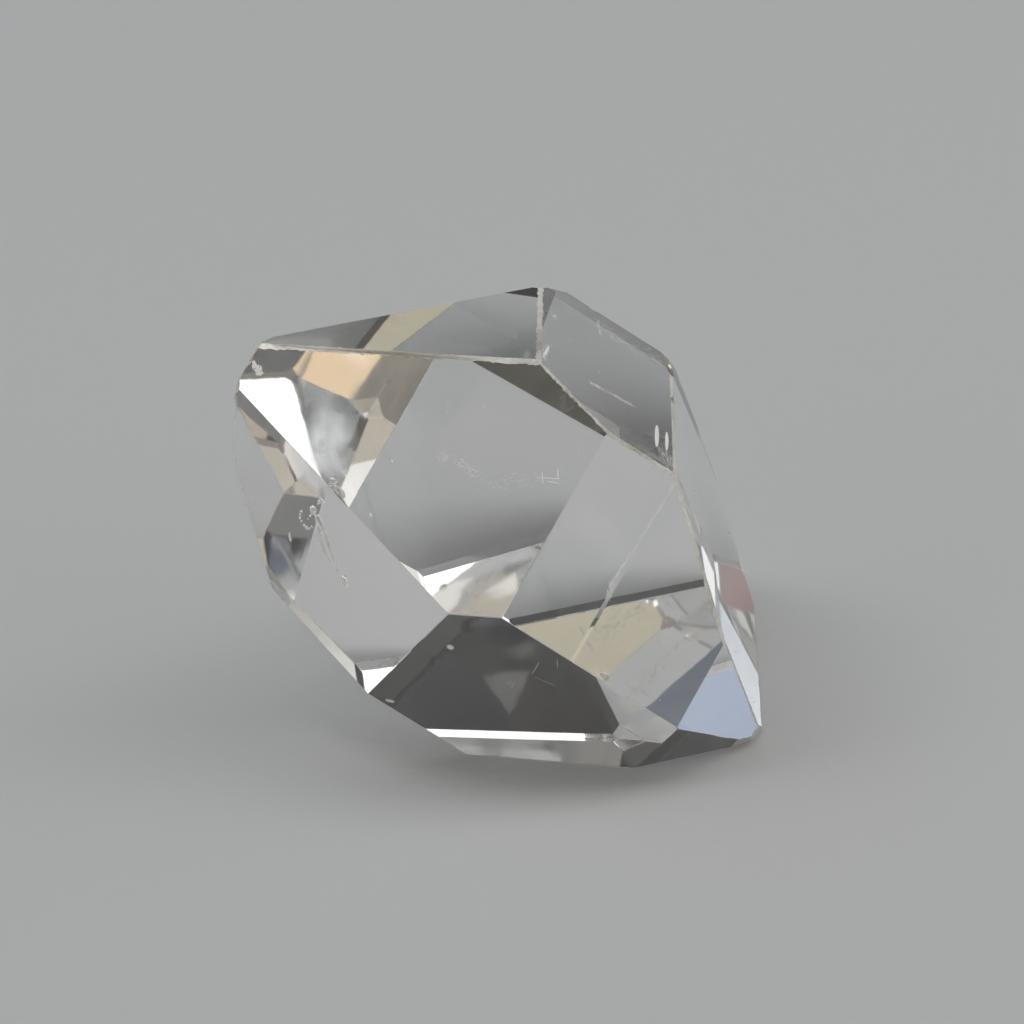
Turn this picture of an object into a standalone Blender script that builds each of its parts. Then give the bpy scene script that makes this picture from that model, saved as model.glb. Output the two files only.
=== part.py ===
"""Herkimer diamond: a water-clear quartz crystal about 12 mm long, pointed at both ends.

One natural crystal, so one solid. It is a hexagonal prism closed at each end by six pyramid
faces, and it lies on its broadest lower pyramid face with the upper point raised. Metres, +Z up,
origin on the ground under the middle of the crystal.
"""
from math import atan, cos, radians, sin, sqrt, tan

import bmesh
import bpy
from mathutils import Matrix, Vector

MM = 0.001

# Quartz: the ratio of the c axis to the a axes sets how steep the pyramid faces are.
AXIAL_RATIO = 1.100
# How far each face grew from the middle of the crystal, in mm, going round the c axis by 60 degrees.
PRISM = (3.55, 4.57, 4.59, 3.66, 4.56, 4.37)
UPPER = (5.09, 4.43, 3.94, 4.21, 4.52, 4.23)
LOWER = (3.39, 5.81, 5.79, 3.52, 5.53, 6.00)
HEADING = 179.3            # turn of the c axis about the vertical, degrees

# Edges are worn to a narrow flat, mm wide. Some took more rubbing than the rest, and the back
# edge between M5 and L0 grew as a narrow bright facet of its own.
EDGE_WEAR = 0.015
WORN_EDGES = {
    ("U2", "U3"): 0.13, ("M3", "U3"): 0.10, ("M2", "M3"): 0.09, ("M3", "L3"): 0.10,
    ("M2", "L3"): 0.12, ("L2", "L3"): 0.07, ("U2", "U5"): 0.11, ("U1", "U5"): 0.08,
    ("L0", "L3"): 0.09, ("L0", "L2"): 0.09, ("L0", "L1"): 0.07, ("M3", "U2"): 0.06,
    ("M5", "L0"): 0.18,
}
# Corners knocked blunt: the faces that meet there, and how deep the blunting goes, mm.
BLUNT_CORNERS = (
    (("U1", "U2", "U5"), 0.10), (("U2", "U3", "U5"), 0.06), (("U0", "U1", "U5"), 0.05),
    (("L0", "L2", "L3"), 0.17), (("L0", "L1", "L2"), 0.10), (("M3", "M4", "L3"), 0.07),
    (("M3", "U3", "U4"), 0.04), (("L0", "L3", "L4"), 0.08),
)
# Shell-shaped chips on edges: the two faces, how far along their edge, how wide and how deep, mm.
# Along an edge is measured from its point nearest the middle of the crystal.
CHIPS = (
    (("M3", "M4"), 0.89, 0.22, 0.045),
    (("L0", "L3"), 0.95, 0.42, 0.07),
    (("L0", "L3"), -1.60, 0.26, 0.04),
    (("M4", "L3"), 0.35, 0.36, 0.05),
    (("M3", "L3"), 2.45, 0.55, 0.05),
    (("M3", "L3"), 0.90, 0.30, 0.04),
    (("U1", "U5"), -2.50, 0.40, 0.05),
)
CHIP_ROUNDNESS = 4         # subdivisions of the ball that a chip is scooped with
# A growth ledge across one prism face: beyond it, towards the lower point, the face lies lower.
LEDGE_FACE = "M2"
LEDGE_HEIGHT = -1.05       # place along the c axis, mm
LEDGE_DROP = 0.012
LEDGE_RISER = 0.08         # width of the sloping step itself

BLANK = 20.0               # side of the cube the crystal is cut from, mm


def crystal_faces():
    """Outward normal and distance of the eighteen faces, about the middle of the crystal."""
    tilt = atan(2 * AXIAL_RATIO / sqrt(3))
    faces = {}
    for k in range(6):
        around = Vector((cos(radians(60 * k)), sin(radians(60 * k)), 0))
        up = Vector((0, 0, cos(tilt)))
        faces[f"M{k}"] = (around, PRISM[k])
        faces[f"U{k}"] = (around * sin(tilt) + up, UPPER[k])
        faces[f"L{k}"] = (around * sin(tilt) - up, LOWER[k])
    return faces


def slice_off(bm, normal, distance):
    """Cut away everything further out than a plane, and close the cut with a flat face."""
    cut = bmesh.ops.bisect_plane(
        bm, geom=bm.verts[:] + bm.edges[:] + bm.faces[:], dist=1e-5,
        plane_co=normal * distance, plane_no=normal, clear_outer=True)
    rim = [e for e in cut["geom_cut"] if isinstance(e, bmesh.types.BMEdge) and e.is_boundary]
    if rim:
        bmesh.ops.holes_fill(bm, edges=rim, sides=0)


def meeting_point(faces, names):
    """The point where two or three face planes meet; on an edge, the point nearest the middle."""
    normals = [faces[name][0] for name in names]
    distances = [faces[name][1] for name in names]
    if len(names) == 2:
        normals.append(normals[0].cross(normals[1]))
        distances.append(0)
    return Matrix(normals).inverted() @ Vector(distances)


def blunting(faces, names, depth):
    """The plane that takes a given depth off the edge or corner where these faces meet."""
    outward = sum((faces[name][0] for name in names), Vector()).normalized()
    return outward, outward.dot(meeting_point(faces, names)) - depth


def face_name(faces, face):
    return max(faces, key=lambda name: faces[name][0].dot(face.normal))


def wear_depth(faces, pair):
    """How far the wear on an edge lies below where the sharp edge would be."""
    width = WORN_EDGES.get(pair, WORN_EDGES.get(pair[::-1], EDGE_WEAR))
    turn = faces[pair[0]][0].angle(faces[pair[1]][0])
    return width * tan(turn / 2) / 2


def worn_planes(bm, faces):
    """One narrow flat along every edge of the sharp crystal."""
    pairs = [tuple(face_name(faces, face) for face in edge.link_faces) for edge in bm.edges]
    return [blunting(faces, pair, wear_depth(faces, pair)) for pair in pairs]


def resting_place(faces):
    """Turn the crystal so that its lower face L0 lies flat on the ground, heading as stated."""
    down = faces["L0"][0].rotation_difference(Vector((0, 0, -1))).to_matrix()
    return Matrix.Rotation(radians(HEADING), 3, "Z") @ down


def add_object(name, bm, collection):
    mesh = bpy.data.meshes.new(name)
    bm.to_mesh(mesh)
    bm.free()
    obj = bpy.data.objects.new(name, mesh)
    collection.objects.link(obj)
    return obj


def add_cutter(name, bm, crystal, collection):
    """A tool that is taken out of the crystal and isn't part of it."""
    cutter = add_object(name, bm, collection)
    cutter.hide_render = True
    cutter.display_type = "WIRE"
    cut = crystal.modifiers.new(name, "BOOLEAN")
    cut.operation = "DIFFERENCE"
    cut.solver = "EXACT"
    cut.object = cutter
    return cutter


def chip_ball(faces, pair, along, width, depth):
    """The ball that scoops a shell-shaped chip, of this width and depth, out of a worn edge."""
    first, second = (faces[name][0] for name in pair)
    outward = (first + second).normalized()
    edge_way = first.cross(second).normalized()
    radius = (width * width / 4 + depth * depth) / (2 * depth)
    lift = radius - depth - wear_depth(faces, pair)
    middle = meeting_point(faces, pair) + edge_way * along + outward * lift
    ball = bmesh.new()
    bmesh.ops.create_icosphere(ball, subdivisions=CHIP_ROUNDNESS, radius=radius,
                               matrix=Matrix.Translation(middle))
    return ball


def ledge_block(faces):
    """A slab over the lowered part of the ledge's face, with one sloping end for the step."""
    outward, distance = faces[LEDGE_FACE]
    along = Vector((0, 0, 1))
    across = along.cross(outward)
    slab = bmesh.new()
    bmesh.ops.create_cube(slab, size=1)
    for vert in slab.verts:
        side, run, rise = vert.co * 2
        height = distance + (0.5 if rise > 0 else -LEDGE_DROP)
        slope = LEDGE_RISER / LEDGE_DROP * (height - distance + LEDGE_DROP)
        end = LEDGE_HEIGHT - LEDGE_RISER + slope if run > 0 else -BLANK / 2
        vert.co = across * side * BLANK / 2 + along * end + outward * height
    return slab


for old in list(bpy.data.objects):
    bpy.data.objects.remove(old, do_unlink=True)

parts = bpy.data.collections.new("herkimer_diamond")
cutters = bpy.data.collections.new("cutters")
bpy.context.scene.collection.children.link(parts)
bpy.context.scene.collection.children.link(cutters)

# The crystal: a cube cut down by its eighteen faces, then by the wear on its edges and corners.
faces = crystal_faces()
body = bmesh.new()
bmesh.ops.create_cube(body, size=BLANK)
for normal, distance in faces.values():
    slice_off(body, normal, distance)
body.normal_update()
for normal, distance in worn_planes(body, faces):
    slice_off(body, normal, distance)
for names, depth in BLUNT_CORNERS:
    slice_off(body, *blunting(faces, names, depth))

# It is turned onto its resting face, brought to metres, and centred over the origin.
turn = resting_place(faces)
lying = [turn @ vert.co for vert in body.verts]
low = Vector([min(point[k] for point in lying) for k in range(3)])
high = Vector([max(point[k] for point in lying) for k in range(3)])
shift = Vector((-(low.x + high.x) / 2, -(low.y + high.y) / 2, -low.z))
placing = Matrix.Scale(MM, 4) @ Matrix.Translation(shift) @ turn.to_4x4()

body.transform(placing)
crystal = add_object("quartz_crystal", body, parts)

for number, chip in enumerate(CHIPS, start=1):
    ball = chip_ball(faces, *chip)
    ball.transform(placing)
    add_cutter(f"chip_{number}", ball, crystal, cutters)
slab = ledge_block(faces)
slab.transform(placing)
add_cutter("growth_ledge", slab, crystal, cutters)

quartz = bpy.data.materials.new("clear_quartz")
quartz.use_nodes = True
shader = quartz.node_tree.nodes["Principled BSDF"]
shader.inputs["Base Color"].default_value = (0.97, 0.98, 0.98, 1)
shader.inputs["Metallic"].default_value = 0
shader.inputs["Roughness"].default_value = 0.01
shader.inputs["IOR"].default_value = 1.544
shader.inputs["Transmission Weight"].default_value = 1
crystal.data.materials.append(quartz)
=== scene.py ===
"""Herkimer diamond: a water-clear quartz crystal, pointed at both ends, lying on a pale table."""
from math import atan, cos, pi, radians, sin, sqrt, tan
from random import Random

import bmesh
import bpy
from mathutils import Matrix, Quaternion, Vector, noise


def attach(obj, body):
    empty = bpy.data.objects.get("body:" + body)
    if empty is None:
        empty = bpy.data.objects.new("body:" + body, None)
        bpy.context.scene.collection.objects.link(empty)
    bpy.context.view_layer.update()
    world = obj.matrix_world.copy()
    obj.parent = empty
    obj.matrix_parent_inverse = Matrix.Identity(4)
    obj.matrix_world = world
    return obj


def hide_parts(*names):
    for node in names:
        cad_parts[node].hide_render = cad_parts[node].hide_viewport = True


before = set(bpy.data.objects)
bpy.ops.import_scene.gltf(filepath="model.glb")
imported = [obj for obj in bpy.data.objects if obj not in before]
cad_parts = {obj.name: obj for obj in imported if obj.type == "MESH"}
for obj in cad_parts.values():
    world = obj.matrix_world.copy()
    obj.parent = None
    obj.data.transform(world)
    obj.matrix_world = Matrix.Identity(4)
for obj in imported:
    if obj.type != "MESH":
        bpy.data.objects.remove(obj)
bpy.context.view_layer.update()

scene = bpy.context.scene

# ---- The crystal ---------------------------------------------------------------------------
# One quartz crystal that grew loose in a pocket of dolomite, so it has a point at both ends.
# Its flat growth faces are as clear as water. Its edges are rubbed and nicked, and small
# shell-shaped chips have sprung from them.

mm = 0.001
AXIAL_RATIO = 1.100                  # c axis to a axis of quartz
HEADING = 179.3                      # how the crystal lies on the table, degrees
SAME_FACE = radians(0.6)             # a face this near to a growth direction is a growth face
HOLLOW = -0.02                       # an edge bent inwards by more than this, in radians, is hollow
LARGEST_CHIP_FACET = 0.006 * mm * mm # a larger face beside a hollow edge is a growth step
LENGTHWISE = 0.7                     # an edge this share of a strip's length runs along the strip
SHARPEST_RUB = 0.03 * mm             # an edge strip narrower than this is still glassy
BRIGHT_FACET = {"M5", "L0"}          # the edge between these grew as a glassy facet of its own
NICK_STEP = 0.07 * mm                # spacing of the nicks along a rubbed edge
NICK_STRAY = 0.3                     # how far a nick strays from its place, as a share of the spacing
NICK_WAVER = 0.10                    # how far a rim wanders, as a share of the rubbed width
WAVER_LENGTH = 0.3 * mm
NICK_BITE = 0.16                     # how far a nick eats into the face, as a share of that width
BRUISES = 0.03                       # share of the nicks that are deep bruises
BRUISE_DEPTH = 0.03 * mm
RUB_SINK = 0.18                      # how deep a rubbed facet sinks at most, as a share of its width


def linear(hex_colour):
    """An sRGB hex colour as linear red, green, blue and an alpha of 1."""
    parts = [int(hex_colour[i:i + 2], 16) / 255 for i in (1, 3, 5)]
    return [p / 12.92 if p <= 0.04045 else ((p + 0.055) / 1.055) ** 2.4 for p in parts] + [1]


def add_node(owner, kind, links=(), **settings):
    """Adds a node to a material or lamp. Settings are its attributes. Links give its sockets a
    value, or feed them from another node's output."""
    tree = owner.node_tree
    node = tree.nodes.new(kind)
    for name, value in settings.items():
        setattr(node, name, value)
    for socket, source in dict(links).items():
        if isinstance(source, bpy.types.NodeSocket):
            tree.links.new(source, node.inputs[socket])
        else:
            node.inputs[socket].default_value = source
    return node


def new_material(name):
    material = bpy.data.materials.new(name)
    material.use_nodes = True
    material.node_tree.nodes.clear()
    return material


def new_object(name, bm, *materials):
    piece = bpy.data.objects.new(name, bpy.data.meshes.new(name))
    scene.collection.objects.link(piece)
    bm.to_mesh(piece.data)
    bm.free()
    for material in materials:
        piece.data.materials.append(material)
    return piece


def quartz_axes():
    """The eighteen outward face directions of the crystal as it lies, and its c axis."""
    tilt = atan(2 * AXIAL_RATIO / sqrt(3))
    directions = {}
    for k in range(6):
        around = Vector((cos(radians(60 * k)), sin(radians(60 * k)), 0))
        directions[f"M{k}"] = around
        directions[f"U{k}"] = around * sin(tilt) + Vector((0, 0, cos(tilt)))
        directions[f"L{k}"] = around * sin(tilt) - Vector((0, 0, cos(tilt)))
    lie = directions["L0"].rotation_difference(Vector((0, 0, -1))).to_matrix()
    lie = Matrix.Rotation(radians(HEADING), 3, "Z") @ lie
    return {name: lie @ way for name, way in directions.items()}, lie @ Vector((0, 0, 1))


growth_ways, c_axis = quartz_axes()
GROWN, RUBBED, CHIPPED, CRISP = range(4)


def growth_name(face):
    """Which growth face this is, or None for an edge, corner, chip or step."""
    name = min(growth_ways, key=lambda name: face.normal.angle(growth_ways[name]))
    return name if face.normal.angle(growth_ways[name]) < SAME_FACE else None


def kind_of(face):
    """A growth face, a rubbed edge or corner, a facet of a chip's hollow, or the step of a ledge."""
    if growth_name(face):
        return GROWN
    if not any(edge.is_manifold and edge.calc_face_angle_signed() < HOLLOW for edge in face.edges):
        return RUBBED
    return CHIPPED if face.calc_area() < LARGEST_CHIP_FACET else CRISP


def longest_edge(face):
    return max(edge.calc_length() for edge in face.edges)


def join_strips(bm):
    """Makes one face of the strips that lie side by side along a rubbed edge. Crisp edges and the
    bright facet stay as glassy as the growth faces."""
    seams = [edge for edge in bm.edges
             if all(face.material_index == RUBBED for face in edge.link_faces)
             and edge.calc_length() > LENGTHWISE * min(longest_edge(face) for face in edge.link_faces)]
    bmesh.ops.dissolve_edges(bm, edges=seams, use_verts=False)
    for face in (face for face in bm.faces if face.material_index == RUBBED):
        beside = {growth_name(near) for edge in face.edges for near in edge.link_faces}
        if BRIGHT_FACET <= beside or face.calc_area() < SHARPEST_RUB * longest_edge(face):
            face.material_index = CRISP


def nick_rims(bm, chance):
    """Breaks the straight rims of the rubbed edges into nicks that eat into the growth faces."""
    rims = []
    for rubbed in (face for face in bm.faces if face.material_index == RUBBED):
        width = rubbed.calc_area() / longest_edge(rubbed)
        for edge in rubbed.edges:
            for grown in (face for face in edge.link_faces if face.material_index == GROWN):
                rims.append((edge, grown, width))
    for edge, grown, width in rims:
        cuts = int(edge.calc_length() / NICK_STEP) - 1
        if cuts < 1:
            continue
        along = (edge.verts[1].co - edge.verts[0].co).normalized()
        inward = along.cross(grown.normal)
        if inward.dot(grown.calc_center_median() - edge.verts[0].co) < 0:
            inward.negate()
        made = bmesh.ops.bisect_edges(bm, edges=[edge], cuts=cuts)["geom_split"]
        for vert in (item for item in made if isinstance(item, bmesh.types.BMVert)):
            waver = NICK_WAVER * noise.noise(vert.co / WAVER_LENGTH)
            bite = width * (waver + NICK_BITE * chance.random() ** 3)
            if chance.random() < BRUISES:
                bite += BRUISE_DEPTH * chance.random()
            vert.co += inward * bite + along * NICK_STEP * chance.uniform(-NICK_STRAY, NICK_STRAY)


def roughen_rubs(bm, chance):
    """Breaks each rubbed face into small facets that sink by uneven amounts."""
    rubbed = [face for face in bm.faces if face.material_index == RUBBED]
    facets = bmesh.ops.triangulate(bm, faces=rubbed, quad_method="BEAUTY", ngon_method="BEAUTY")["faces"]
    poked = bmesh.ops.poke(bm, faces=facets)["verts"]
    bm.normal_update()
    for vert in poked:
        patch = sqrt(sum(face.calc_area() for face in vert.link_faces))
        vert.co -= vert.normal * patch * chance.uniform(0, RUB_SINK)


bm = bmesh.new()
bm.from_mesh(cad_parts["quartz_crystal"].data)
bmesh.ops.remove_doubles(bm, verts=bm.verts, dist=0.0001 * mm)
bmesh.ops.dissolve_limit(bm, angle_limit=radians(0.1), verts=bm.verts, edges=bm.edges)
for face in bm.faces:
    face.material_index = kind_of(face)
face_planes = {name: max(way.dot(vert.co) for vert in bm.verts) for name, way in growth_ways.items()}
wear = Random(3)
join_strips(bm)
nick_rims(bm, wear)
roughen_rubs(bm, wear)
for face in bm.faces:
    face.smooth = face.material_index == CHIPPED
for edge in bm.edges:
    edge.smooth = {face.material_index for face in edge.link_faces} == {CHIPPED}


QUARTZ_IOR = 1.549                   # mean of 1.544 and 1.553
QUARTZ_TINT = "#F6F3EA"              # faint straw, seen only where the way through is long
QUARTZ_TINT_DENSITY = 6.0            # per metre


def quartz_finish(name, colour, roughness):
    """A finish of the same clear quartz. Gives its material and its shader."""
    material = new_material(name)
    shader = add_node(material, "ShaderNodeBsdfPrincipled", {
        "Base Color": linear(colour), "Roughness": roughness, "IOR": QUARTZ_IOR,
        "Transmission Weight": 1.0})
    body = add_node(material, "ShaderNodeVolumeAbsorption", {
        "Color": linear(QUARTZ_TINT), "Density": QUARTZ_TINT_DENSITY})
    add_node(material, "ShaderNodeOutputMaterial", {
        "Surface": shader.outputs["BSDF"], "Volume": body.outputs["Volume"]})
    return material, shader


def pattern(material, kind, size, output="Fac", turn=(0, 0, 0), **settings):
    """A texture laid out in the object's own space, with features of the given size."""
    place = add_node(material, "ShaderNodeTexCoord")
    sized = add_node(material, "ShaderNodeMapping", {
        "Vector": place.outputs["Object"], "Scale": size, "Rotation": turn}, vector_type="TEXTURE")
    texture = add_node(material, kind, {"Vector": sized.outputs["Vector"], "Scale": 1.0}, **settings)
    return texture.outputs[output]


def add_relief(material, shader, height, depth):
    """Raises the surface by a pattern of the given depth, on top of the relief already there."""
    links = {"Height": height, "Distance": depth}
    if shader.inputs["Normal"].is_linked:
        links["Normal"] = shader.inputs["Normal"].links[0].from_socket
    relief = add_node(material, "ShaderNodeBump", links)
    material.node_tree.links.new(relief.outputs["Normal"], shader.inputs["Normal"])


# A natural growth face of quartz: glass-smooth, with low growth hills and fine lines across the
# c axis. It bends what is seen through it a little and hardly blurs it.
growth_finish, shader = quartz_finish("quartz_growth_face", "#FFFFFF", roughness=0.03)
c_turn = Vector((0, 0, 1)).rotation_difference(c_axis).to_euler()
hills = pattern(growth_finish, "ShaderNodeTexNoise", size=(1.6 * mm,) * 3)
lines = pattern(growth_finish, "ShaderNodeTexNoise", size=(2.5 * mm, 2.5 * mm, 0.16 * mm), turn=c_turn)
add_relief(growth_finish, shader, hills, depth=0.002 * mm)
add_relief(growth_finish, shader, lines, depth=0.00015 * mm)

# Quartz rubbed by other stones: crushed to a white frost in some stretches, and half clear in
# others, with clearer grains in it.
rubbed_finish, shader = quartz_finish("quartz_rubbed_edge", "#FCFBF8", roughness=0.4)
grains = pattern(rubbed_finish, "ShaderNodeTexNoise", size=(0.05 * mm,) * 3)
stretches = pattern(rubbed_finish, "ShaderNodeTexNoise", size=(1.3 * mm,) * 3)
clearness = add_node(rubbed_finish, "ShaderNodeMath", {0: grains, 1: stretches}, operation="ADD")
clear_grains = add_node(rubbed_finish, "ShaderNodeMapRange", {
    "Value": clearness.outputs[0], "From Min": 0.8, "From Max": 1.2, "To Min": 0.1, "To Max": 0.9})
rubbed_finish.node_tree.links.new(clear_grains.outputs["Result"], shader.inputs["Transmission Weight"])
add_relief(rubbed_finish, shader, grains, depth=0.006 * mm)

# Freshly broken quartz: glossy and shell-shaped, with ripples that spread from the blow.
chip_finish, shader = quartz_finish("quartz_chip", "#FFFFFF", roughness=0.05)
ripples = pattern(chip_finish, "ShaderNodeTexWave", size=(0.9 * mm,) * 3, wave_type="RINGS")
add_relief(chip_finish, shader, ripples, depth=0.0015 * mm)

crystal = new_object("clear_crystal", bm, growth_finish, rubbed_finish, chip_finish, growth_finish)
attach(crystal, "root")
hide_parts("quartz_crystal")

# ---- Gas bubbles ---------------------------------------------------------------------------
# Gas and brine shut in as the crystal grew: a few large bubbles in a row, a ring of tiny ones
# and two threads that run down from them. They sit behind the left shoulder of the crystal.

BUBBLES = (                          # middle, how far it reaches along its length, half width; mm
    ((-2.69, -0.24, 4.79), (0.02, 0.03, 0.22), 0.090),
    ((-2.74, -0.14, 4.56), (-0.05, 0.03, -0.05), 0.040),
    ((-2.88, -0.02, 4.35), (-0.01, 0.01, -0.11), 0.095),
    ((-2.76, -0.16, 4.12), (0.08, -0.09, -0.16), 0.095),
    ((-2.34, -0.75, 3.08), (0.04, -0.05, -0.11), 0.085),
    ((-3.43, 0.49, 3.60), (0.01, -0.03, -0.10), 0.035),
)
RING_BEADS = (                       # middles of the tiny bubbles that make a broken ring; mm
    (-3.14, 0.25, 4.23), (-3.17, 0.27, 4.16), (-3.18, 0.27, 4.09), (-3.15, 0.23, 4.03),
    (-3.10, 0.17, 3.96), (-3.05, 0.11, 3.92), (-2.99, 0.05, 3.93), (-2.94, 0.00, 3.98),
    (-3.01, 0.09, 4.12), (-2.95, 0.04, 4.20),
)
BEAD_LEAN = 0.02                     # how far a bead leans sideways, mm
BEAD_REACH = (0.02, 0.04)            # shortest and longest bead, from its middle to its end, mm
BEAD_HALF_WIDTH = (0.018, 0.045)
THREADS = (                          # points that each thread passes, and its half width; mm
    (((-2.74, -0.20, 4.10), (-2.71, -0.24, 4.02), (-2.65, -0.34, 3.81), (-2.58, -0.43, 3.59),
      (-2.52, -0.52, 3.38), (-2.46, -0.62, 3.18)), 0.050),
    (((-2.81, -0.14, 4.02), (-2.80, -0.16, 3.94), (-2.77, -0.20, 3.75), (-2.71, -0.30, 3.54),
      (-2.61, -0.43, 3.33)), 0.050),
)
BUBBLE_LUMPS = 0.25                  # how lumpy a bubble is, as a share of its size
LUMP_SIZE = 0.09 * mm
THREAD_WANDER = 0.02 * mm
WANDER_LENGTH = 0.12 * mm


def point_along(points, share):
    """The place a given share of the way along a line of points."""
    place = share * (len(points) - 1)
    k = min(int(place), len(points) - 2)
    return points[k].lerp(points[k + 1], place - k)


def add_spindle(bm, points, half_width, flat_way=None, flatness=1.0, sides=10, rings=16):
    """A smooth closed body that follows a line of points and narrows to each end. It can be
    pressed flat in one direction."""
    points = [Vector(point) for point in points]
    made = bmesh.ops.create_uvsphere(bm, u_segments=sides, v_segments=rings, radius=1.0)["verts"]
    along = (points[-1] - points[0]).normalized()
    thick_way = (flat_way or along.orthogonal()).normalized()
    broad_way = thick_way.cross(along).normalized()
    for vert in made:
        across, up, share = vert.co.x, vert.co.y, (vert.co.z + 1) / 2
        off_middle = (broad_way * across + thick_way * up * flatness) * half_width
        vert.co = point_along(points, share) + off_middle
    return made


def add_bubble(bm, middle, reach, half_width):
    middle, reach = Vector(middle) * mm, Vector(reach) * mm
    verts = add_spindle(bm, (middle - reach, middle + reach), half_width * mm)
    for vert in verts:
        vert.co += (vert.co - middle) * BUBBLE_LUMPS * noise.noise(vert.co / LUMP_SIZE)


bm = bmesh.new()
for middle, reach, half_width in BUBBLES:
    add_bubble(bm, middle, reach, half_width)
brine = Random(11)
for middle in RING_BEADS:
    reach = (brine.uniform(-BEAD_LEAN, BEAD_LEAN), 0, brine.uniform(*BEAD_REACH))
    add_bubble(bm, middle, reach, brine.uniform(*BEAD_HALF_WIDTH))
for points, half_width in THREADS:
    verts = add_spindle(bm, [Vector(point) * mm for point in points], half_width * mm, rings=48)
    for vert in verts:
        vert.co.x += THREAD_WANDER * noise.noise(vert.co / WANDER_LENGTH)
for face in bm.faces:
    face.smooth = True
# Gas inside quartz: it bends light the other way from glass, so a bubble shows a dark rim. Its
# wall is finely stepped, so it is milky and mirrors some of the light.
gas = new_material("gas_in_quartz")
shader = add_node(gas, "ShaderNodeBsdfPrincipled", {
    "Base Color": linear("#FFFFFF"), "Metallic": 0.5, "Roughness": 0.15, "IOR": 1 / QUARTZ_IOR,
    "Transmission Weight": 0.7})
add_node(gas, "ShaderNodeOutputMaterial", {"Surface": shader.outputs["BSDF"]})
dimples = pattern(gas, "ShaderNodeTexNoise", size=(0.08 * mm,) * 3)
add_relief(gas, shader, dimples, depth=0.002 * mm)
bubbles = new_object("gas_bubbles", bm, gas)
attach(bubbles, "root")

# ---- Healed crack --------------------------------------------------------------------------
# A crack in the left shoulder that healed while the crystal still grew. It shut in a sheet of
# gas films too fine to see apart, so it shows only as a faint silvery veil.

VEIL_MIDDLE = Vector((-2.99, -0.43, 5.64)) * mm
VEIL_ACROSS = Vector((0.62, -0.19, 0.02)) * mm      # half its width
VEIL_DOWN = Vector((-0.06, -0.76, -0.64)) * mm      # half its height
VEIL_THICKNESS = 0.012 * mm                         # half of it, at the middle
VEIL_BUCKLE = 0.012 * mm                            # how far it strays from a flat sheet
BUCKLES = 1.5                                       # about this many buckles in half its width,
PATCHES = 1.8                                       # and this many thick and thin patches
PATCHINESS = 0.9                                    # how much the patches differ
THIN_EDGE = 1.3                                     # a larger number thins the edge sooner
THIN_TOP = 0.25                                     # how much thinner it gets from middle to top

bm = bmesh.new()
bmesh.ops.create_uvsphere(bm, u_segments=32, v_segments=24, radius=1.0)
milkiness = bm.verts.layers.float.new("milkiness")
through = VEIL_DOWN.cross(VEIL_ACROSS).normalized()
for vert in bm.verts:
    x, y, z = vert.co
    patch = 1 + PATCHINESS * noise.noise(Vector((x, z, 3.0)) * PATCHES)
    inside = max(0.0, 1 - x * x - z * z)
    vert[milkiness] = inside ** THIN_EDGE * (1 - THIN_TOP + THIN_TOP * z) * patch
    buckle = VEIL_BUCKLE * noise.noise(Vector((x, z, 0.0)) * BUCKLES)
    vert.co = VEIL_MIDDLE + VEIL_ACROSS * x + VEIL_DOWN * z + through * (VEIL_THICKNESS * y - buckle)
for face in bm.faces:
    face.smooth = True
# Milky quartz: its films of gas mirror some of the light, scatter a little and let the rest
# straight through.
milky = new_material("milky_quartz")
shader = add_node(milky, "ShaderNodeBsdfPrincipled", {
    "Base Color": linear("#FBFCFD"), "Roughness": 0.3, "IOR": 1.0})
clouds = pattern(milky, "ShaderNodeTexNoise", size=(0.3 * mm, 0.3 * mm, 0.9 * mm))
thin_edge = add_node(milky, "ShaderNodeAttribute", attribute_name="milkiness").outputs["Fac"]
thickness = add_node(milky, "ShaderNodeMath", {0: clouds, 1: thin_edge}, operation="MULTIPLY")
for socket, at_edge, in_thick in (("Metallic", 0.0, 0.65), ("Transmission Weight", 1.0, 0.7)):
    share = add_node(milky, "ShaderNodeMapRange", {
        "Value": thickness.outputs[0], "From Min": 0.0, "From Max": 0.6,
        "To Min": at_edge, "To Max": in_thick})
    milky.node_tree.links.new(share.outputs["Result"], shader.inputs[socket])
add_node(milky, "ShaderNodeOutputMaterial", {"Surface": shader.outputs["BSDF"]})
veil = new_object("healed_crack", bm, milky)
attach(veil, "root")

# ---- Scuffs and painted glints -------------------------------------------------------------
# Fine scratches and rub marks where other stones have dragged over the growth faces. Each is a
# shallow groove of crushed quartz. Two white marks on M3 and a haze of strokes below them are
# painted highlights: white crushed quartz put where that face shows glints of the lamp.

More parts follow.
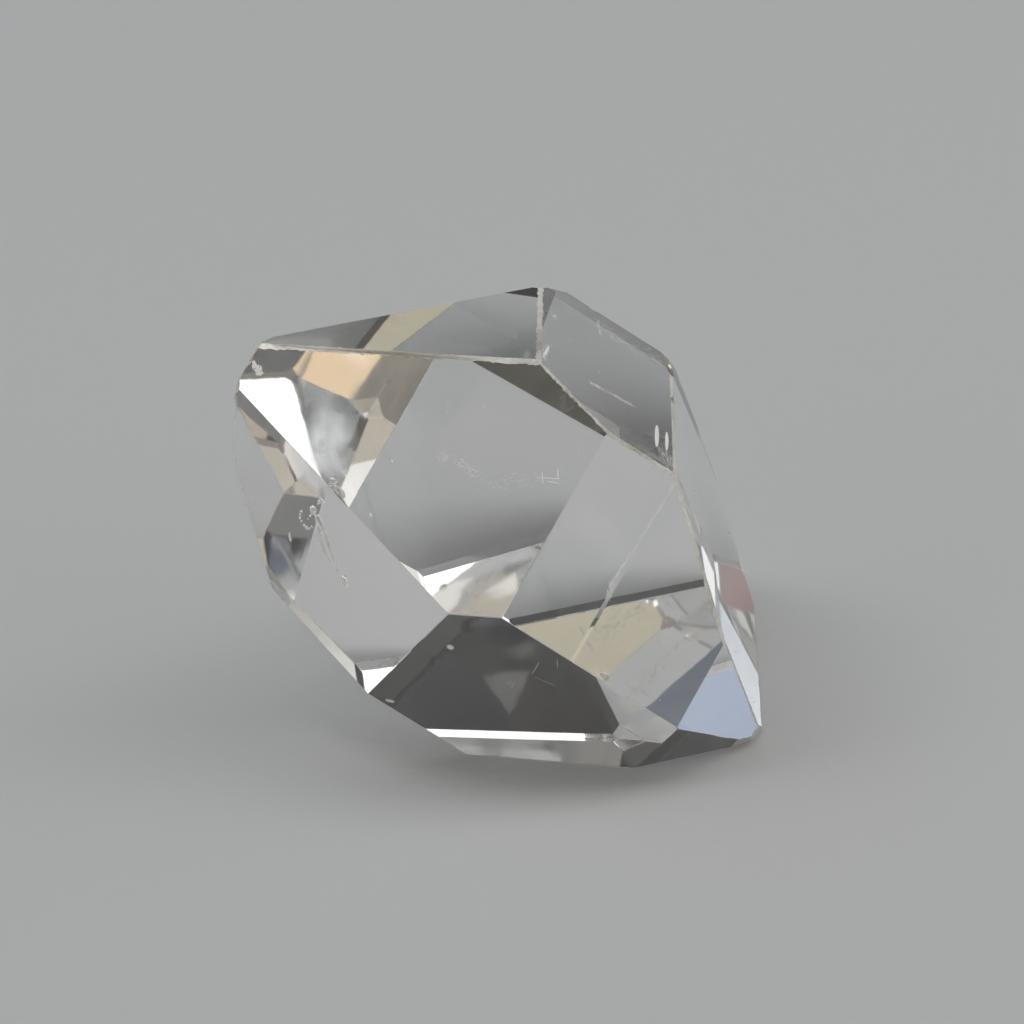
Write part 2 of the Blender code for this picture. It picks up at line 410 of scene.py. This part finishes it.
SCRATCHES_AND_PAINTED_GLINTS = (                        # growth face, from, to and half width; mm
    ("U2", (0.95, -3.34, 5.85), (1.43, -3.53, 5.85), 0.012),
    ("U2", (1.16, -3.47, 5.81), (1.42, -3.60, 5.78), 0.013),
    ("U2", (1.09, -3.31, 5.94), (1.09, -3.50, 5.76), 0.013),
    ("U2", (1.40, -3.35, 6.01), (1.39, -3.53, 5.83), 0.012),
    ("U2", (-1.86, -2.18, 5.98), (-1.82, -2.24, 5.92), 0.026),
    ("U2", (-2.33, -2.85, 5.16), (-2.29, -2.91, 5.08), 0.026),
    ("M1", (0.61, -4.73, 2.30), (0.78, -4.95, 2.66), 0.006),
    ("M1", (0.65, -4.72, 2.25), (1.06, -4.78, 2.05), 0.004),
    ("M1", (1.13, -5.14, 2.77), (1.13, -5.03, 2.54), 0.005),
    # Painted highlights: two white marks where M3 shows glints of the lamp, long enough for their fading
    # tails.
    ("M3", (3.36, -1.10, 5.87), (3.33, -2.30, 5.89), 0.055),
    ("M3", (3.55, -1.14, 5.73), (3.52, -2.15, 5.74), 0.045),
    ("M3", (1.36, -0.50, 7.46), (1.24, -1.30, 7.54), 0.030),
    ("M1", (1.96, -5.27, 2.50), (2.04, -5.34, 2.38), 0.075),
    ("M1", (-2.34, -3.16, 1.32), (-2.18, -3.26, 1.26), 0.050),
    ("M1", (-1.00, -4.40, 2.87), (-0.86, -4.44, 2.87), 0.075),
)
RUBS_AND_PAINTED_HIGHLIGHT = (                             # growth face, from, to, strokes, reach, spread, half width; mm
    ("U2", (-0.95, -2.45, 6.08), (-0.70, -2.50, 6.04), 60, (0.01, -0.02, 0.06), 0.06, 0.004),
    ("U2", (-0.55, -2.62, 6.00), (-0.20, -2.93, 5.84), 60, (0.01, -0.02, 0.07), 0.07, 0.004),
    ("U2", (-0.55, -2.62, 6.00), (-0.20, -2.93, 5.84), 40, (0.07, -0.03, 0.00), 0.07, 0.004),
    ("U2", (-0.20, -2.93, 5.84), (0.48, -3.42, 5.61), 60, (0.01, -0.03, 0.07), 0.12, 0.004),
    ("U2", (0.30, -3.25, 5.80), (1.00, -3.45, 5.85), 40, (0.07, -0.03, 0.02), 0.12, 0.003),
    ("U2", (-0.71, -1.67, 6.89), (-0.64, -1.84, 6.75), 12, (0.01, -0.02, 0.06), 0.03, 0.003),
    ("U2", (0.04, -1.91, 6.93), (0.03, -2.03, 6.81), 12, (0.01, -0.02, 0.06), 0.03, 0.003),
    ("U2", (1.82, -3.20, 6.31), (1.84, -3.22, 6.28), 10, (0.01, -0.02, 0.04), 0.03, 0.003),
    ("M3", (1.36, -0.40, 7.46), (1.22, -1.40, 7.56), 30, (0.00, -0.25, 0.00), 0.05, 0.004),
    ("M3", (2.08, -1.06, 6.89), (2.94, -0.85, 6.21), 140, (0.05, -0.10, -0.04), 0.035, 0.0025),
    ("M3", (1.46, 1.49, 7.39), (1.46, 1.27, 7.39), 12, (0.00, -0.10, 0.00), 0.03, 0.004),
    ("M3", (2.35, 2.70, 6.71), (2.34, 2.01, 6.71), 12, (0.00, -0.20, 0.00), 0.03, 0.004),
    ("M3", (2.34, 2.24, 6.71), (3.50, 2.70, 5.80), 110, (0.10, 0.02, -0.08), 0.18, 0.003),
    # Painted highlight: a haze of fine white strokes where the corner of M3 below the glints looks lit.
    ("M3", (3.44, -2.20, 5.80), (3.60, -2.80, 5.68), 160, (0.02, -0.12, -0.02), 0.10, 0.0015),
    ("M1", (0.10, -4.40, 1.95), (0.22, -4.46, 2.02), 12, (0.00, -0.02, 0.06), 0.04, 0.003),
    ("M2", (3.61, -3.25, 5.43), (2.29, -4.37, 3.96), 150, (0.09, 0.08, 0.10), 0.018, 0.004),
    ("M2", (2.29, -4.37, 3.96), (2.19, -4.52, 3.68), 60, (0.02, 0.03, 0.05), 0.035, 0.004),
    ("U2", (-4.51, 0.16, 7.31), (-4.40, -0.03, 7.17), 90, (0.03, -0.05, -0.05), 0.030, 0.010),
)
SCRATCH_AND_GLINT_FLATNESS = 0.25              # how shallow each is for its width
STROKE_FLATNESS = 0.4


def on_face(name, point):
    """The nearest place on a growth face."""
    point = Vector(point) * mm
    way = growth_ways[name]
    return point - way * (way.dot(point) - face_planes[name])


bm = bmesh.new()
for name, start, end, half_width in SCRATCHES_AND_PAINTED_GLINTS:
    add_spindle(bm, (on_face(name, start), on_face(name, end)), half_width * mm,
                flat_way=growth_ways[name], flatness=SCRATCH_AND_GLINT_FLATNESS, sides=6, rings=12)
drag = Random(23)
for name, start, end, strokes, reach, spread, half_width in RUBS_AND_PAINTED_HIGHLIGHT:
    rub = bmesh.new()
    for k in range(strokes):
        middle = Vector(start).lerp(Vector(end), drag.random())
        middle += Vector([drag.gauss(0, spread) for axis in range(3)])
        stroke = Vector(reach) * drag.uniform(0.3, 0.7)
        add_spindle(rub, (on_face(name, middle - stroke), on_face(name, middle + stroke)),
                    half_width * drag.uniform(0.5, 1.5) * mm, flat_way=growth_ways[name],
                    flatness=STROKE_FLATNESS, sides=4, rings=4)
    rub_mesh = bpy.data.meshes.new("rub")
    rub.to_mesh(rub_mesh)
    rub.free()
    bm.from_mesh(rub_mesh)
    bpy.data.meshes.remove(rub_mesh)
# Crushed quartz: a fine white powdery groove. On the two M3 glint marks and the haze below them this
# white is a painted highlight.
powder_and_glint_material = new_material("quartz_powder_and_painted_glints")
shader = add_node(powder_and_glint_material, "ShaderNodeBsdfPrincipled", {
    "Base Color": linear("#FDFDFB"), "Roughness": 0.6, "IOR": QUARTZ_IOR})
add_node(powder_and_glint_material, "ShaderNodeOutputMaterial", {"Surface": shader.outputs["BSDF"]})
powder = pattern(powder_and_glint_material, "ShaderNodeTexNoise", size=(0.02 * mm,) * 3)
add_relief(powder_and_glint_material, shader, powder, depth=0.003 * mm)
scuffs_and_painted_glints = new_object("scuffs_and_painted_glints", bm, powder_and_glint_material)
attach(scuffs_and_painted_glints, "root")

# ---- Dust ----------------------------------------------------------------------------------
# Crumbs of pale dolomite, the rock the crystal grew in. They have settled on the faces that look
# upwards, and only their own weight holds them there.

DUST_GRAINS = 90
GRAIN_SIZE = (0.006, 0.016)          # smallest and largest half width, mm
GRAIN_LUMPS = (0.6, 1.2)             # how far its corners stand out, as a share of its half width
GRAIN_STAND = 0.5                    # how far its middle stands off the face, on the same scale
UPWARD = 0.1                         # dust settles where the face looks up at least this much

crystal.data.calc_loop_triangles()
tops = [[crystal.data.vertices[k].co.copy() for k in triangle.vertices]
        for triangle in crystal.data.loop_triangles
        if triangle.normal.z > UPWARD and triangle.material_index == GROWN]
areas = [(b - a).cross(c - a).length for a, b, c in tops]
settle = Random(5)
bm = bmesh.new()
for a, b, c in settle.choices(tops, areas, k=DUST_GRAINS):
    s, t = sorted((settle.random(), settle.random()))
    place = a * s + b * (t - s) + c * (1 - t)
    half_width = settle.uniform(*GRAIN_SIZE) * mm
    made = bmesh.ops.create_icosphere(bm, subdivisions=1, radius=half_width)["verts"]
    axis = Vector((settle.random(), settle.random(), settle.random()))
    turn = Quaternion(axis, settle.uniform(0, pi))
    way = (b - a).cross(c - a).normalized()
    off_face = way * half_width * GRAIN_STAND
    for vert in made:
        vert.co = turn @ (vert.co * settle.uniform(*GRAIN_LUMPS)) + place + off_face
dust_material = new_material("rock_dust")
shader = add_node(dust_material, "ShaderNodeBsdfPrincipled", {
    "Base Color": linear("#E4E1DA"), "Roughness": 0.9})
add_node(dust_material, "ShaderNodeOutputMaterial", {"Surface": shader.outputs["BSDF"]})
specks = pattern(dust_material, "ShaderNodeTexNoise", size=(0.01 * mm,) * 3)
add_relief(dust_material, shader, specks, depth=0.002 * mm)
dust = new_object("dust", bm, dust_material)
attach(dust, "root")

# ---- The table -----------------------------------------------------------------------------
# The crystal lies on a plain sheet of pale matte paper. It is pressed from wet pulp, and its
# fibres leave a faint grain.

PAPER_SIZE = 1.6                     # one side, metres
PAPER_GAP = 0.03 * mm                # air left between the crystal and the paper's fibres
bm = bmesh.new()
bmesh.ops.create_grid(bm, x_segments=1, y_segments=1, size=PAPER_SIZE / 2)
bmesh.ops.translate(bm, verts=bm.verts, vec=(0, 0, -PAPER_GAP))
paper_material = new_material("matte_paper")
shader = add_node(paper_material, "ShaderNodeBsdfPrincipled", {
    "Base Color": linear("#C9CBCC"), "Roughness": 0.9})
add_node(paper_material, "ShaderNodeOutputMaterial", {"Surface": shader.outputs["BSDF"]})
fibres = pattern(paper_material, "ShaderNodeTexNoise", size=(0.5 * mm,) * 3)
add_relief(paper_material, shader, fibres, depth=0.02 * mm)
paper = new_object("table_paper", bm, paper_material)

# ---- Studio light --------------------------------------------------------------------------
# A long softbox hangs over the table in a dim room, and plain cards stand round it. A clear
# crystal shows only what its faces bend the eye towards, so each card lights a few faces.

ROOM_GLOW = 0.045
CARD_DISTANCE = 350 * mm

world = bpy.data.worlds.new("dim_room")
scene.world = world
world.use_nodes = True
room = world.node_tree.nodes["Background"]
room.inputs["Color"].default_value = linear("#FFFFFF")
room.inputs["Strength"].default_value = ROOM_GLOW


def fade_edges(light, share):
    """Lets a lamp's glow die away towards the edges of its cloth, over that share of its width.
    Parametric runs from 0 to 1 across the lamp, so its middle is at 0.5."""
    place = add_node(light, "ShaderNodeNewGeometry")
    sides = add_node(light, "ShaderNodeSeparateXYZ", {"Vector": place.outputs["Parametric"]})
    glows = []
    for axis in ("X", "Y"):
        off_middle = add_node(light, "ShaderNodeMath", {
            0: sides.outputs[axis], 1: 0.5}, operation="SUBTRACT")
        distance = add_node(light, "ShaderNodeMath", {0: off_middle.outputs[0]}, operation="ABSOLUTE")
        glows.append(add_node(light, "ShaderNodeMapRange", {
            "Value": distance.outputs[0], "From Min": 0.5, "From Max": 0.5 - share / 2},
            interpolation_type="SMOOTHSTEP").outputs["Result"])
    glow = add_node(light, "ShaderNodeMath", {0: glows[0], 1: glows[1]}, operation="MULTIPLY")
    light.node_tree.links.new(glow.outputs[0], light.node_tree.nodes["Emission"].inputs["Strength"])


def softbox(name, azimuth, elevation, spread, radiance, colour="#FFFFFF", fade=0.3):
    """A rectangular lamp facing the crystal. Azimuth goes from the back (+Y) towards +X. Spread is
    its half width and half height as angles, and radiance is how bright its face looks."""
    azimuth, elevation = radians(azimuth), radians(elevation)
    toward = Vector((sin(azimuth) * cos(elevation), cos(azimuth) * cos(elevation), sin(elevation)))
    width, height = (2 * CARD_DISTANCE * tan(radians(angle)) for angle in spread)
    light = bpy.data.lights.new(name, "AREA")
    light.shape = "RECTANGLE"
    light.size, light.size_y = width, height
    light.energy = radiance * pi * width * height
    light.color = linear(colour)[:3]
    light.use_nodes = True
    fade_edges(light, fade)
    lamp = bpy.data.objects.new(name, light)
    lamp.location = toward * CARD_DISTANCE
    lamp.rotation_mode = "QUATERNION"
    lamp.rotation_quaternion = toward.to_track_quat("Z", "Y")
    scene.collection.objects.link(lamp)
    return lamp


# Name, azimuth, elevation and spread in degrees, radiance, then the cloth's colour and soft rim.
softbox("overhead_softbox", 0, 84, (54, 21), 1.5, fade=0.25)
softbox("warm_overhead_card", 168, 59, (26, 20), 0.48, "#FFF6D8", fade=0.8)
softbox("right_card", 102, 25, (44, 24), 0.75, "#FFFDF6", fade=0.25)
softbox("left_card", -123, 18, (41, 20), 0.44, "#FFF5E4", fade=0.3)
softbox("upper_left_card", -106, 33, (8, 7), 0.3, fade=0.5)
softbox("low_left_card", -57, 5, (8, 4), 0.42, "#FFEBD6", fade=0.5)
softbox("front_card", -178, 9, (12, 5), 0.14, fade=0.5)
softbox("tan_card", -136, 24, (8, 7), 0.42, "#FFC870", fade=0.8)
softbox("red_card", -138, 40, (8, 7), 0.45, "#B43A2A", fade=0.5)
softbox("cool_card", -34, 43, (26, 26), 0.55, "#D4E4FF", fade=0.7)
softbox("back_strip", 33, 30, (5, 14), 0.1, fade=0.5)
softbox("back_left_card", -58, 46, (11, 12), 1.0, fade=0.5)
scene.view_settings.view_transform = "Standard"

# ---- Camera --------------------------------------------------------------------------------
# A long lens 12 cm in front of the crystal, looking down at it a little. It keeps the far
# edges almost as large as the near ones.

LOOK_AT = Vector((0.34, 0.09, 3.77)) * mm
LOOK_DISTANCE = 120 * mm
LOOK_AZIMUTH = radians(1.79)
LOOK_ELEVATION = radians(22.05)
LOOK_ROLL = radians(-4.77)
SENSOR_WIDTH = 36.0                  # mm
LENS_LENGTH = 210.94                 # mm
LIGHT_BOUNCES = 32                   # clear facets hand the light on many times

camera_data = bpy.data.cameras.new("camera")
camera = bpy.data.objects.new("camera", camera_data)
scene.collection.objects.link(camera)
backwards = Vector((sin(LOOK_AZIMUTH) * cos(LOOK_ELEVATION), -cos(LOOK_AZIMUTH) * cos(LOOK_ELEVATION),
                    sin(LOOK_ELEVATION)))
camera.location = LOOK_AT + backwards * LOOK_DISTANCE
camera.rotation_mode = "QUATERNION"
camera.rotation_quaternion = backwards.to_track_quat("Z", "Y") @ Quaternion((0, 0, 1), LOOK_ROLL)
camera_data.sensor_width = SENSOR_WIDTH
camera_data.lens = LENS_LENGTH
camera_data.clip_start = 1 * mm
camera_data.clip_end = 10.0
scene.camera = camera
scene.cycles.max_bounces = LIGHT_BOUNCES
scene.cycles.transmission_bounces = LIGHT_BOUNCES
scene.cycles.glossy_bounces = LIGHT_BOUNCES
scene.cycles.use_light_tree = False  # a dozen lamps are quicker picked by chance
